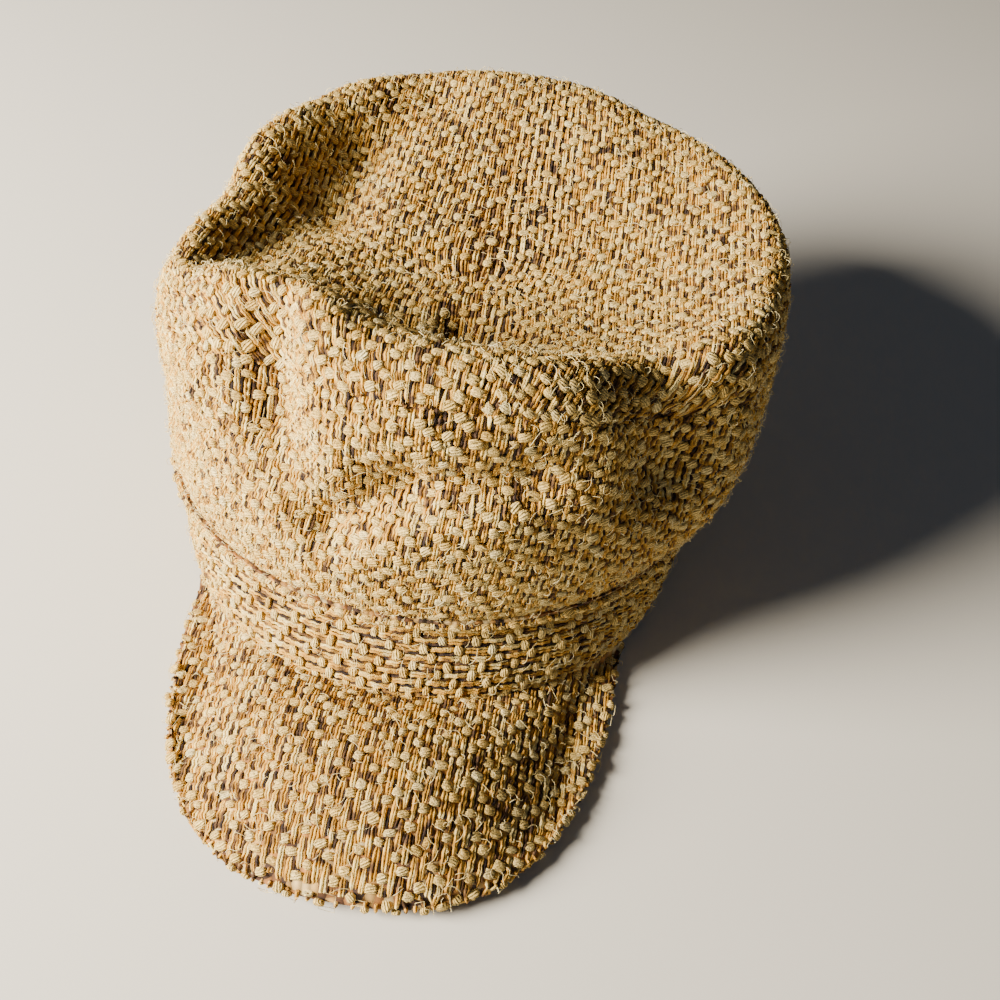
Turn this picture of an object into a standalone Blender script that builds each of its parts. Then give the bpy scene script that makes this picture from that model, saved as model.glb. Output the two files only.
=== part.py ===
"""Soft baker-boy cap in chunky tweed, lying on the back of its band and on its peak.

Metres, +Z up, the peak towards -Y, the surface it lies on at z = 0, the origin under the middle
of the whole cap. Four sewn pieces: the hat band, the side crown that bulges over it, the round
crown top that rolls over the rim and sinks in the middle, and the stiffened peak.
"""
import math

import bpy
import numpy as np

# Driving sizes, outside of the cloth
BAND_WIDTH = 0.190  # side to side, at the hem
BAND_LENGTH = 0.188  # front to back, at the hem
BAND_HEIGHT = 0.033
BAND_LEAN = 0.018  # how far the front of the band leans back
FRONT_RISE = 0.018  # the peak holds the front of the hem this far off the surface
SIDE_RISE = 0.0045  # and the sides of the hem this far
HEM_PRESS = 0.0008  # how far the back of the hem is pressed flat
CROWN_WIDTH = 0.226
CROWN_FRONT = 0.066  # reach of the crown ahead of the band's middle
CROWN_BACK = 0.157  # reach of the crown behind the band's middle
CROWN_HEIGHT = 0.137  # top of the front fold
CROWN_LEAN = 0.007  # how far the crown has slumped towards +X
PEAK_REACH = 0.067  # ahead of the band
PEAK_WIDTH = 0.160
PEAK_SPREAD = 62.0  # degrees round the band from the middle of the peak to its corner
PEAK_LIFT = 0.003  # how much the middle of the peak's front edge lifts
PEAK_BOW = 0.006  # how much the peak bows up between band and edge
PEAK_SQUARENESS = 2.5  # exponent of the rounded outline

# Walls and clearances
BAND_WALL = 0.003
SIDE_WALL = 0.003
TOP_WALL = 0.003
PEAK_WALL = 0.004
PEAK_ROUND = 0.0015  # rounding of the peak's edge
GAP = 0.0003  # left between sewn pieces

# Facets
AROUND = 64
BAND_ROWS = 5
SIDE_ROWS = 10
TOP_ROWS = 15
PEAK_ACROSS = 28
PEAK_ROWS = 8
SHARP_EDGE = 50.0  # degrees

# Sections of the band, hem to seam. The first three are shares of half the band's width and
# length, lean is a share of BAND_LEAN and height of BAND_HEIGHT.
BAND_SECTIONS = (
    # half_width, front, back, lean, height
    (1.000, 1.000, 1.000, 0.00, 0.00),
    (1.030, 1.000, 1.010, 0.30, 0.35),
    (1.025, 1.000, 1.010, 0.70, 0.72),
    (0.985, 0.990, 0.990, 1.00, 1.00),
)
MOST_LEAN = 0.9  # of the band's height

# Sections of the crown, from the seam of the band out to the rim and in to the middle. free is
# how far a section has left the line of the band. The reaches are shares of half CROWN_WIDTH,
# CROWN_FRONT and CROWN_BACK, the heights are shares of the crown's height above the band.
SIDE_SECTIONS = (
    # free, half_width, front, back, z_front, z_side, z_back
    (0.25, 1.018, 1.580, 0.800, 0.330, 0.280, 0.120),
    (0.50, 1.012, 1.395, 0.880, 0.530, 0.370, 0.230),
    (0.75, 0.985, 1.212, 0.930, 0.680, 0.420, 0.320),
    (0.90, 0.984, 1.084, 0.955, 0.790, 0.480, 0.420),
)
TOP_SECTIONS = (
    # free, half_width, front, back, z_front, z_side, z_back
    (1.00, 0.990, 0.960, 0.975, 0.900, 0.560, 0.520),
    (1.00, 1.000, 0.870, 0.993, 0.965, 0.660, 0.650),
    (1.00, 0.972, 0.763, 0.978, 0.990, 0.750, 0.770),
    (1.00, 0.898, 0.626, 0.906, 0.947, 0.774, 0.806),
    (1.00, 0.741, 0.409, 0.761, 0.802, 0.716, 0.757),
    (1.00, 0.509, 0.091, 0.565, 0.686, 0.648, 0.668),
    (1.00, 0.259, -0.227, 0.348, 0.619, 0.609, 0.619),
    (1.00, 0.000, -0.485, 0.213, 0.599, 0.599, 0.599),
)

# Dents of the lying crown, a bulge having a depth below zero. Each runs from one place to
# another, a place being an angle round the cap in degrees (-90 is the front) and a level (0 seam
# of the band, 1 seam of the top, 2 middle). half_width and depth are shares of CROWN_WIDTH.
DENTS = (
    # name, from_angle, from_level, to_angle, to_level, half_width, depth
    ("left_front_valley", -117, 1.22, -112, 0.72, 0.050, 0.026),
    ("right_front_valley", -57, 1.18, -50, 0.78, 0.055, 0.028),
    ("front_crease_left", -108, 0.57, -98, 0.74, 0.035, 0.010),
    ("front_crease_right", -97, 0.75, -64, 0.87, 0.035, 0.010),
    ("dent_behind_the_fold", -112, 1.72, -84, 1.70, 0.065, 0.046),
    ("top_valley_back", 112, 1.50, 150, 1.60, 0.075, 0.026),
    ("top_valley_left", 166, 1.64, 208, 1.48, 0.070, 0.034),
    ("left_back_flat", 152, 1.15, 176, 1.15, 0.150, 0.052),
    ("left_back_notch", 180, 1.40, 176, 0.95, 0.080, 0.034),
    ("left_rim_slump", 196, 1.25, 216, 1.30, 0.080, 0.014),
    ("left_bulge", 204, 0.92, 224, 0.92, 0.090, -0.022),
    ("left_front_hump", 226, 1.42, 250, 1.36, 0.060, -0.014),
    ("right_front_dip", -62, 1.34, -54, 1.40, 0.075, 0.012),
    ("right_bulge", -28, 0.55, 15, 0.60, 0.090, -0.024),
)
DENT_LEVELS = 0.8  # how far a dent reaches across levels

TWEED = (0.72, 0.47, 0.23, 1.0)
TWEED_ROUGHNESS = 0.9

FRONT = -math.pi / 2  # the angle of the front
NUDGE = 1e-3  # step in radians and levels over which a surface's slope is taken
NEAR_MIDDLE = 1.97  # level past which the normal no longer changes
TINY = 1e-12


def clear_scene():
    for item in list(bpy.data.objects):
        bpy.data.objects.remove(item, do_unlink=True)


def band_sections():
    """The band's sections in metres: half width, front, back, and height at three places."""
    upright = math.cos(math.asin(min(MOST_LEAN, BAND_LEAN / BAND_HEIGHT)))
    rows = []
    for half_width, front, back, lean, height in BAND_SECTIONS:
        rise = height * BAND_HEIGHT
        rows.append((
            half_width * BAND_WIDTH / 2,
            front * BAND_LENGTH / 2 - lean * BAND_LEAN,
            back * BAND_LENGTH / 2,
            FRONT_RISE + rise * upright,
            SIDE_RISE + rise,
            rise,
        ))
    return np.array(rows)


def crown_sections():
    """The crown's sections in metres, each drawn from the band's seam towards its own shape."""
    seam = band_sections()[-1]
    rows = [seam]
    for free, half_width, front, back, z_front, z_side, z_back in SIDE_SECTIONS + TOP_SECTIONS:
        rise = CROWN_HEIGHT - BAND_HEIGHT
        own = np.array((
            half_width * CROWN_WIDTH / 2,
            front * CROWN_FRONT,
            back * CROWN_BACK,
            BAND_HEIGHT + z_front * rise,
            BAND_HEIGHT + z_side * rise,
            BAND_HEIGHT + z_back * rise,
        ))
        rows.append((1 - free) * seam + free * own)
    return np.array(rows)


def between(sections, place):
    """A section at any place along the list, on a smooth curve through the listed ones."""
    last = len(sections) - 1
    place = np.clip(place, 0.0, last)
    index = np.minimum(place.astype(int), last - 1)
    step = (place - index)[..., None]
    before = sections[np.maximum(index - 1, 0)]
    start = sections[index]
    end = sections[index + 1]
    after = sections[np.minimum(index + 2, last)]
    return 0.5 * (
        2 * start
        + (end - before) * step
        + (2 * before - 5 * start + 4 * end - after) * step ** 2
        + (3 * start - before - 3 * end + after) * step ** 3
    )


def oval_point(section, angle):
    """A point of an oval section whose height differs at the front, the sides and the back."""
    half_width, front, back, z_front, z_side, z_back = np.moveaxis(section, -1, 0)
    ahead = np.maximum(0.0, -np.sin(angle)) ** 2
    behind = np.maximum(0.0, np.sin(angle)) ** 2
    return np.stack([
        half_width * np.cos(angle),
        (back - front) / 2 + (back + front) / 2 * np.sin(angle),
        z_side + (z_front - z_side) * ahead + (z_back - z_side) * behind,
    ], axis=-1)


def band_point(angle, level):
    """The band's outside; level runs from 0 at the hem to 1 at the seam."""
    sections = band_sections()
    point = oval_point(between(sections, level * (len(sections) - 1)), angle)
    point[..., 2] = np.maximum(0.0, point[..., 2] - HEM_PRESS * (1 - level))
    return point


def plain_crown(angle, level):
    """The crown's outside without dents; level is 0 at the band, 1 at the top's seam, 2 mid."""
    sections = crown_sections()
    side = len(SIDE_SECTIONS) + 1
    top = len(TOP_SECTIONS) - 1
    place = np.where(level < 1, level * side, side + (level - 1) * top)
    point = oval_point(between(sections, place), angle)
    point[..., 0] += CROWN_LEAN * np.sin(math.pi / 2 * np.minimum(level, 1.0)) ** 2
    return point


def direction(vectors):
    return vectors / np.maximum(np.linalg.norm(vectors, axis=-1, keepdims=True), TINY)


def outward(surface, angle, level):
    """Unit normals of a surface given as a function of angle and level."""
    level = np.minimum(level, NEAR_MIDDLE)
    along = surface(angle + NUDGE, level) - surface(angle - NUDGE, level)
    up = surface(angle, level + NUDGE) - surface(angle, np.maximum(level - NUDGE, 0.0))
    return direction(np.cross(along, up))


def crown_point(angle, level):
    """The crown's outside with its dents pressed in."""
    point = plain_crown(angle, level)
    for _, angle_a, level_a, angle_b, level_b, half_width, depth in DENTS:
        places = np.radians((angle_a, angle_b)), np.array((level_a, level_b))
        start, end = plain_crown(*places)
        normal_a, normal_b = outward(plain_crown, *places)
        run = end - start
        share = np.clip((point - start) @ run / max(run @ run, TINY), 0.0, 1.0)[..., None]
        away = np.linalg.norm(point - start - share * run, axis=-1, keepdims=True)
        off_level = level[..., None] - level_a - share * (level_b - level_a)
        press = np.exp(-(away / (half_width * CROWN_WIDTH)) ** 2 - (off_level / DENT_LEVELS) ** 2)
        inwards = -direction(normal_a + share * (normal_b - normal_a))
        point = point + depth * CROWN_WIDTH * press * inwards
    return point


def cloth_wall(surface, levels, wall, closed=False):
    """Rows of points, outside then inside, of a cloth wall over all angles and given levels.

    An open edge stops half a GAP short of the seam, so that sewn neighbours stay clear.
    """
    turn = np.arange(AROUND) * 2 * math.pi / AROUND
    angle, level = np.meshgrid(turn, levels)
    outside = surface(angle, level)
    inside = outside - wall * outward(surface, angle, level)
    for rows in (outside, inside):
        rows[0] += GAP / 2 * direction(rows[1] - rows[0])
        if not closed:
            rows[-1] += GAP / 2 * direction(rows[-2] - rows[-1])
    return outside, inside


def sewn_ring(outside, inside):
    """Points and faces of a wall that is open above and below."""
    loop = np.concatenate([outside, inside[::-1]])
    rows, around = loop.shape[:2]
    faces = [
        (
            row * around + step,
            row * around + (step + 1) % around,
            (row + 1) % rows * around + (step + 1) % around,
            (row + 1) % rows * around + step,
        )
        for row in range(rows)
        for step in range(around)
    ]
    return loop.reshape(-1, 3), faces


def sewn_cap(outside, inside):
    """Points and faces of a wall whose last rows close to a point outside and inside."""
    tips = np.stack([outside[-1].mean(axis=0), inside[-1].mean(axis=0)])
    loop = np.concatenate([outside[-2::-1], inside[:-1]])
    rows, around = loop.shape[:2]
    points = np.concatenate([loop.reshape(-1, 3), tips])
    faces = []
    for step in range(around):
        after = (step + 1) % around
        last = (rows - 1) * around
        faces.append((rows * around, step, after))
        faces.append((rows * around + 1, last + after, last + step))
        for row in range(rows - 1):
            faces.append((
                row * around + step,
                (row + 1) * around + step,
                (row + 1) * around + after,
                row * around + after,
            ))
    return points, faces


def hem_rows(angle):
    """The outer and inner edge of the hem, level with each other."""
    outer = band_point(angle, np.zeros_like(angle))
    inner = outer - BAND_WALL * direction(outer * np.array((1.0, 1.0, 0.0)))
    return outer, inner


def peak_rows():
    """Rows of points of the peak's upper face: under the hem first, then out to its edge."""
    share = np.linspace(-1.0, 1.0, PEAK_ACROSS + 1)
    hem, tucked = hem_rows(FRONT + math.radians(PEAK_SPREAD) * share)
    hem[:, 2] -= GAP
    tucked[:, 2] -= GAP
    sweep = share * math.pi / 2
    side = np.sign(share) * np.abs(np.sin(sweep)) ** (2 / PEAK_SQUARENESS)
    ahead = np.abs(np.cos(sweep)) ** (2 / PEAK_SQUARENESS)
    corner = hem[0, 1]
    edge = np.stack([
        side * PEAK_WIDTH / 2,
        corner - (PEAK_REACH + corner + BAND_LENGTH / 2) * ahead,
        PEAK_WALL + PEAK_LIFT * ahead,
    ], axis=-1)
    rows = [tucked]
    for along in np.linspace(0.0, 1.0, PEAK_ROWS):
        row = hem + along * (edge - hem)
        row[:, 2] += PEAK_BOW * math.sin(math.pi * along) * ahead
        rows.append(row)
    return np.array(rows)


def peak_solid():
    """Points and faces of the peak: a bowed board whose outer edge is rounded."""
    upper = peak_rows()
    lower = upper - np.array((0.0, 0.0, PEAK_WALL))
    rim = (upper[-1] + lower[-1]) / 2
    inwards = PEAK_ROUND * direction(upper[-2] - upper[-1])
    upper[-1] += inwards
    lower[-1] += inwards
    loop = np.concatenate([upper, rim[None], lower[::-1]])
    rows, across = loop.shape[:2]
    faces = [
        (
            row * across + step,
            (row + 1) % rows * across + step,
            (row + 1) % rows * across + step + 1,
            row * across + step + 1,
        )
        for row in range(rows)
        for step in range(across - 1)
    ]
    for row in range(rows // 2):
        left = (row, row + 1, rows - 2 - row, rows - 1 - row)
        left = tuple(dict.fromkeys(left))
        faces.append(tuple(place * across for place in left[::-1]))
        faces.append(tuple(place * across + across - 1 for place in left))
    return loop.reshape(-1, 3), faces


def cloth_material(name):
    """Rough woven wool in the tweed's mean colour."""
    material = bpy.data.materials.new(name)
    material.use_nodes = True
    shader = material.node_tree.nodes["Principled BSDF"]
    shader.inputs["Base Color"].default_value = TWEED
    shader.inputs["Roughness"].default_value = TWEED_ROUGHNESS
    shader.inputs["Metallic"].default_value = 0.0
    return material


def add_piece(name, points, faces):
    mesh = bpy.data.meshes.new(name)
    mesh.from_pydata(points.tolist(), [], faces)
    mesh.shade_smooth()
    mesh.set_sharp_from_angle(angle=math.radians(SHARP_EDGE))
    mesh.materials.append(cloth_material(name + "_tweed"))
    piece = bpy.data.objects.new(name, mesh)
    bpy.context.collection.objects.link(piece)


def add_band():
    outside, inside = cloth_wall(band_point, np.linspace(0.0, 1.0, BAND_ROWS), BAND_WALL)
    outside[0], inside[0] = hem_rows(np.arange(AROUND) * 2 * math.pi / AROUND)
    add_piece("band", *sewn_ring(outside, inside))


def add_crown_side():
    levels = np.linspace(0.0, 1.0, SIDE_ROWS)
    add_piece("crown_side", *sewn_ring(*cloth_wall(crown_point, levels, SIDE_WALL)))


def add_crown_top():
    levels = np.linspace(1.0, 2.0, TOP_ROWS)
    add_piece("crown_top", *sewn_cap(*cloth_wall(crown_point, levels, TOP_WALL, closed=True)))


def add_peak():
    add_piece("peak", *peak_solid())


def centre_over_origin():
    """Moves all pieces so that the middle of the whole cap's underside is at the origin."""
    meshes = [item.data for item in bpy.data.objects]
    points = np.array([vertex.co for mesh in meshes for vertex in mesh.vertices])
    low = points.min(axis=0)
    middle = (low + points.max(axis=0)) / 2
    middle[2] = low[2]
    for mesh in meshes:
        for vertex in mesh.vertices:
            vertex.co = np.array(vertex.co) - middle


clear_scene()
add_band()
add_crown_side()
add_crown_top()
add_peak()
centre_over_origin()
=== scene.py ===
"""Soft baker-boy cap in chunky tweed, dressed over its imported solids.

Every piece is a tweed wall with its own yarns laid on it, strand by strand.
"""
import math

import bpy
import numpy as np
from mathutils import Matrix, Vector
from mathutils.bvhtree import BVHTree


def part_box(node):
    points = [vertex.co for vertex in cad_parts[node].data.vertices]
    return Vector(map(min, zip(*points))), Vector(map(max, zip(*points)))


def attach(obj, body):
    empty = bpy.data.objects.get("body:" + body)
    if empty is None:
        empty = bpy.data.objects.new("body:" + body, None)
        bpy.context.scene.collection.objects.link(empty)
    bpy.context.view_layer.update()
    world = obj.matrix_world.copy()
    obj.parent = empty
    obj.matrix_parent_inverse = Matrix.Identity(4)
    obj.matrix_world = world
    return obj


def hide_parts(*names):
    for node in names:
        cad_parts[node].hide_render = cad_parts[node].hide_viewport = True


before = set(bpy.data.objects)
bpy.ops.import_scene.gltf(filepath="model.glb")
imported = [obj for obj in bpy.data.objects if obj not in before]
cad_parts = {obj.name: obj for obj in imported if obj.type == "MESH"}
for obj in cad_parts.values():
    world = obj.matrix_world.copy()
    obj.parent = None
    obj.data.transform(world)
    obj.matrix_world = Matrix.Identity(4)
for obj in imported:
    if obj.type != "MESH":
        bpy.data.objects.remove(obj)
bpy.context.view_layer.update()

# The hat band
# An upright strip of tweed sewn into a ring round the head. It is cut with its warp running
# round the cap, so its grain lies a quarter turn from that of the other pieces.
BAND_WIDTH = 0.190
BAND_LENGTH = 0.188
BAND_HEIGHT = 0.033
BAND_LEAN = 0.018
FRONT_RISE = 0.018
SIDE_RISE = 0.0045
HEM_PRESS = 0.0008
BAND_SECTIONS = (
    # half_width, front, back, lean, height, as shares
    (1.000, 1.000, 1.000, 0.00, 0.00),
    (1.030, 1.000, 1.010, 0.30, 0.35),
    (1.025, 1.000, 1.010, 0.70, 0.72),
    (0.985, 0.990, 0.990, 1.00, 1.00),
)
WALL = 0.003
SUNK = 0.0011  # the wall's face lies this far under the tops of the yarns
FRONT = -math.pi / 2
LEVEL_ONLY = np.array((1.0, 1.0, 0.0))
NUDGE = 1e-3
NEAR_MIDDLE = 1.97
TINY = 1e-12

band_low, band_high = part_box("band")
HEAD_CENTRE = np.array(((band_low.x + band_high.x) / 2, band_low.y + BAND_LENGTH / 2, 0.0))


def band_sections():
    """The band's sections in metres: half width, front, back, and height at three places."""
    upright = math.cos(math.asin(BAND_LEAN / BAND_HEIGHT))
    rows = []
    for half_width, front, back, lean, height in BAND_SECTIONS:
        rise = height * BAND_HEIGHT
        rows.append((
            half_width * BAND_WIDTH / 2,
            front * BAND_LENGTH / 2 - lean * BAND_LEAN,
            back * BAND_LENGTH / 2,
            FRONT_RISE + rise * upright,
            SIDE_RISE + rise,
            rise,
        ))
    return np.array(rows)


def between(sections, place):
    """A section at any place along the list, on a smooth curve through the listed ones."""
    last = len(sections) - 1
    place = np.clip(place, 0.0, last)
    index = np.minimum(place.astype(int), last - 1)
    step = (place - index)[..., None]
    before = sections[np.maximum(index - 1, 0)]
    start = sections[index]
    end = sections[index + 1]
    after = sections[np.minimum(index + 2, last)]
    return 0.5 * (
        2 * start
        + (end - before) * step
        + (2 * before - 5 * start + 4 * end - after) * step ** 2
        + (3 * start - before - 3 * end + after) * step ** 3
    )


def oval_point(section, angle):
    """A point of an oval section whose height differs at the front, the sides and the back."""
    half_width, front, back, z_front, z_side, z_back = np.moveaxis(section, -1, 0)
    ahead = np.maximum(0.0, -np.sin(angle)) ** 2
    behind = np.maximum(0.0, np.sin(angle)) ** 2
    return HEAD_CENTRE + np.stack([
        half_width * np.cos(angle),
        (back - front) / 2 + (back + front) / 2 * np.sin(angle),
        z_side + (z_front - z_side) * ahead + (z_back - z_side) * behind,
    ], axis=-1)


def band_point(angle, level):
    """The band's outside; level runs from 0 at the hem to 1 at the seam."""
    sections = band_sections()
    point = oval_point(between(sections, level * (len(sections) - 1)), angle)
    point[..., 2] = np.maximum(0.0, point[..., 2] - HEM_PRESS * (1 - level))
    return point


def direction(vectors):
    return vectors / np.maximum(np.linalg.norm(vectors, axis=-1, keepdims=True), TINY)


def outward(surface, angle, level):
    """Unit normals of a surface given as a function of angle and level."""
    level = np.minimum(level, NEAR_MIDDLE)
    along = surface(angle + NUDGE, level) - surface(angle - NUDGE, level)
    up = surface(angle, level + NUDGE) - surface(angle, np.maximum(level - NUDGE, 0.0))
    return direction(np.cross(along, up))


def add(tree, kind, inputs=None, **settings):
    """Adds a node to a tree. An input, by name or number, is a value, a socket or a node's first one."""
    node = tree.nodes.new(kind)
    for key, value in settings.items():
        setattr(node, key, value)
    for key, value in (inputs or {}).items():
        value = value.outputs[0] if isinstance(value, bpy.types.Node) else value
        if isinstance(value, bpy.types.NodeSocket):
            tree.links.new(value, node.inputs[key])
        else:
            node.inputs[key].default_value = value
    return node


def linear(colour):
    """An sRGB hex colour as linear red, green, blue and alpha."""
    parts = [int(colour[place:place + 2], 16) / 255 for place in (1, 3, 5)]
    parts = [p / 12.92 if p <= 0.04045 else ((p + 0.055) / 1.055) ** 2.4 for p in parts]
    return (*parts, 1.0)


def ramp(tree, factor, stops):
    """A colour ramp fed by a socket, from pairs of place and sRGB hex colour."""
    node = add(tree, "ShaderNodeValToRGB", {"Fac": factor})
    stretch = node.color_ramp.elements
    while len(stretch) < len(stops):
        stretch.new(0.5)
    for element, (place, colour) in zip(stretch, stops):
        element.position = place
        element.color = linear(colour)
    return node


# Woollen warp yarn, spun loosely from dyed fleece and woven: a dull, fibrous surface with a soft light
# edge. Each strand has its own colour from near black to straw, carried in its tint; the near-black strand
# between ends is partly dark yarn and partly painted shade in the gap.
WARP_COLOURS = (
    (0.00, "#2E2628"), (0.18, "#6A4E36"), (0.36, "#B08238"),
    (0.56, "#DDA644"), (0.78, "#ECC468"), (1.00, "#F6E09A"),
)
WOOL_ROUGHNESS = 0.9
WOOL_IOR = 1.5
WOOL_SHEEN = 0.1
WOOL_GLANCE = "#E8B870"  # a glancing light takes the colour of the fleece
WOOL_GLOSS = 0.2
FIBRE_PER_METRE = 3600.0  # fleece fibres are about 0.03 mm thick; drawn as coarse as shows
MOTTLE_PER_METRE = 300.0
SPECKLE_PER_METRE = 2200.0  # loose fibre ends on the yarn, drawn about 0.5 mm across
MOTTLE_SHIFT = 0.6  # how far the mottle moves a tint
FLEECE_LIGHT = {1: 0.32, 2: 0.68, 3: 0.62, 4: 1.25}  # noise from and to, brightness from and to
SPECKLE_LIGHT = {1: 0.35, 2: 0.68, 3: 0.74, 4: 1.2}
FIBRE_BUMP = {"Strength": 0.9, "Distance": 0.0004}


def set_wool(shader):
    """The numbers that all of the wool shares."""
    for socket, value in (("Roughness", WOOL_ROUGHNESS), ("IOR", WOOL_IOR), ("Sheen Weight", WOOL_SHEEN),
                          ("Sheen Tint", linear(WOOL_GLANCE)), ("Specular IOR Level", WOOL_GLOSS)):
        shader.inputs[socket].default_value = value


def wool(name, colours):
    """Woollen yarn: its mesh holds a tint, and coordinates that run along its fibres."""
    material = bpy.data.materials.new(name)
    material.use_nodes = True
    tree = material.node_tree
    shader = tree.nodes["Principled BSDF"]
    place = add(tree, "ShaderNodeTexCoord").outputs["Object"]
    tint = add(tree, "ShaderNodeAttribute", attribute_name="tint").outputs["Fac"]
    along = add(tree, "ShaderNodeAttribute", attribute_name="fibre").outputs["Vector"]
    fleece, mottle, speckle = (
        add(tree, "ShaderNodeTexNoise", {"Vector": spot, "Scale": scale, "Detail": detail}).outputs["Fac"]
        for spot, scale, detail in (
            (along, FIBRE_PER_METRE, 2.0), (place, MOTTLE_PER_METRE, 2.0), (place, SPECKLE_PER_METRE, 1.0)))
    shift = add(tree, "ShaderNodeMath", {0: mottle, 1: 0.5}, operation="SUBTRACT")
    mixed = add(tree, "ShaderNodeMath", {0: shift, 1: MOTTLE_SHIFT, 2: tint}, operation="MULTIPLY_ADD")
    colour = ramp(tree, mixed, colours)
    light = add(tree, "ShaderNodeMapRange", {"Value": fleece, **FLEECE_LIGHT})
    ends = add(tree, "ShaderNodeMapRange", {"Value": speckle, **SPECKLE_LIGHT})
    fuzzy = add(tree, "ShaderNodeMath", {0: light, 1: ends}, operation="MULTIPLY")
    bright = add(tree, "ShaderNodeMix", {0: 1.0, 6: colour, 7: fuzzy},
                 data_type="RGBA", blend_type="MULTIPLY")
    height = add(tree, "ShaderNodeMath", {0: fleece, 1: speckle}, operation="ADD")
    bump = add(tree, "ShaderNodeBump", {"Height": height, **FIBRE_BUMP})
    tree.links.new(bright.outputs[2], shader.inputs["Base Color"])
    tree.links.new(bump.outputs["Normal"], shader.inputs["Normal"])
    set_wool(shader)
    return material


warp_wool = wool("woven_woollen_warp", WARP_COLOURS)

# The weave is a broken twill on four warp ends. The pale weft comes up over one end in each
# pick, as a nub, and over each end once in four picks; between nubs the warp floats on top.
END = 0.0029
PICK = 0.0029
NUB_ORDER = (0, 2, 1, 3)  # the end of each four that a pick comes up over
STRANDS = 3  # a stout golden strand and a thinner, paler one in an end, and a dark one between ends
STRAND_RADIUS = 0.0006
STRAND_SIDE = (-0.00045, 0.00036, 0.00140)  # from the middle of the end
STRAND_LIFT = (0.00005, -0.00008, -0.00026)
STRAND_SIZE = (1.08, 0.78, 1.08)
PALER = 0.22  # the thinner strand's tint above that of the stout one
OVER_PICK = 0.0004  # how far a float rises over each pick of the thick weft
SWAY = 0.0002
SWAY_LENGTH = 0.004
ANY_PHASE = 6.3  # radians, all the way round
BURIED = 0.0015  # how far the strands dip under a nub
BURIED_REACH = 0.8  # of a pick, to either side
PINCH = 0.4  # share by which an end narrows there
SQUEEZE = 0.25  # share by which a strand thins there
SWELL = 0.14  # and by which it swells over a pick
LIFT_SPREAD = 0.0001
TINT_SPREAD = 0.05
SIZE_RANGE = (0.9, 1.12)
SEGMENT = 1.0  # picks over which a strand keeps its colour; the warp is a marl of dyed fleeces
SEGMENT_SHARES = (0.0, 0.14, 0.20, 0.36, 0.74, 0.84, 1.0)
SEGMENT_TINTS = (0.06, 0.22, 0.38, 0.50, 0.66, 0.80, 1.0)
# Tints of the dark strand between ends: partly dark yarn of the marl, partly painted shade in the gap
# between ends.
DARK_SHARES = (0.0, 0.70, 0.86, 1.0)
DARK_TINTS = (0.0, 0.12, 0.30, 0.50)
FIBRE_STRETCH = 0.14  # a fibre's look is this much coarser along the yarn than round it
RUN_OFFSET = 0.05  # metres by which the look of two strands differs at most
NUB_LIFT = -0.0002
SEAM_DIP = 0.0010  # how far the yarns sink into a seam
SEAM_REACH = 0.0016


def end_row(end):
    """The pick, from 0 to 3, that comes up over an end."""
    return np.argsort(NUB_ORDER)[end % 4]


def warp_lines(ends, start, stop, spacing, pick, rng):
    """Strands of some warp ends: across, along, lift, thickness and tint, a row for each."""
    steps = int(math.ceil((stop - start) / (pick / 2))) + 1
    along = np.linspace(start, start + (steps - 1) * pick / 2, steps)[None]
    end = np.repeat(ends, STRANDS)[:, None]
    strand = np.tile(np.arange(STRANDS), len(ends))[:, None]
    count = len(end)
    phase = (along / pick - end_row(end) + 2) % 4 - 2
    buried = np.exp(-(phase / BURIED_REACH) ** 2)
    sway = SWAY * np.sin(along / SWAY_LENGTH + rng.uniform(0, ANY_PHASE, (count, 1)))
    across = (end + 0.5) * spacing + np.array(STRAND_SIDE)[strand] * (1 - PINCH * buried) + sway
    lift = np.array(STRAND_LIFT)[strand] - BURIED * buried + rng.normal(0, LIFT_SPREAD, (count, 1))
    over = np.cos(2 * math.pi * phase) * (1 - buried)
    lift = lift + OVER_PICK * over
    # The dark strand sits low in the gap between ends: partly dark yarn, partly painted shade.
    dark = strand == STRANDS - 1
    place = along / pick - end_row(end) + 0.5
    segment = np.floor(place / SEGMENT).astype(int)
    segment = segment - segment.min()
    drawn = len(ends), segment.max() + 1
    shades = np.interp(rng.uniform(0, 1, drawn), SEGMENT_SHARES, SEGMENT_TINTS)
    deeps = np.interp(rng.uniform(0, 1, drawn), DARK_SHARES, DARK_TINTS)
    shade, deep = (kind[(np.arange(count) // STRANDS)[:, None], segment] for kind in (shades, deeps))
    tint = np.where(dark, deep, shade + PALER * (strand == 1)) + rng.normal(0, TINT_SPREAD, (count, 1))
    thickness = np.array(STRAND_SIZE)[strand] * rng.uniform(*SIZE_RANGE, (count, 1))
    thickness = thickness * (1 - SQUEEZE * buried + SWELL * over)
    run = FIBRE_STRETCH * along + RUN_OFFSET * rng.uniform(0, 1, (count, 1))
    return across, np.broadcast_to(along, across.shape), lift, thickness, tint, run


def chains(count, steps):
    """Edges that join the points of each of some strands, which have as many points each."""
    number = np.arange(count * steps).reshape(count, steps)
    return np.stack([number[:, :-1].ravel(), number[:, 1:].ravel()], axis=-1)


def seed_mesh(name, points, edges, fields):
    """A mesh of points and edges that carries named numbers or vectors on its points."""
    mesh = bpy.data.meshes.new(name)
    mesh.from_pydata(np.asarray(points).tolist(), np.asarray(edges).tolist(), [])
    for field, values in fields.items():
        if values.ndim == 2:
            mesh.attributes.new(field, "FLOAT_VECTOR", "POINT").data.foreach_set("vector", values.ravel())
        else:
            mesh.attributes.new(field, "FLOAT", "POINT").data.foreach_set("value", values.ravel())
    return mesh


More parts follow.
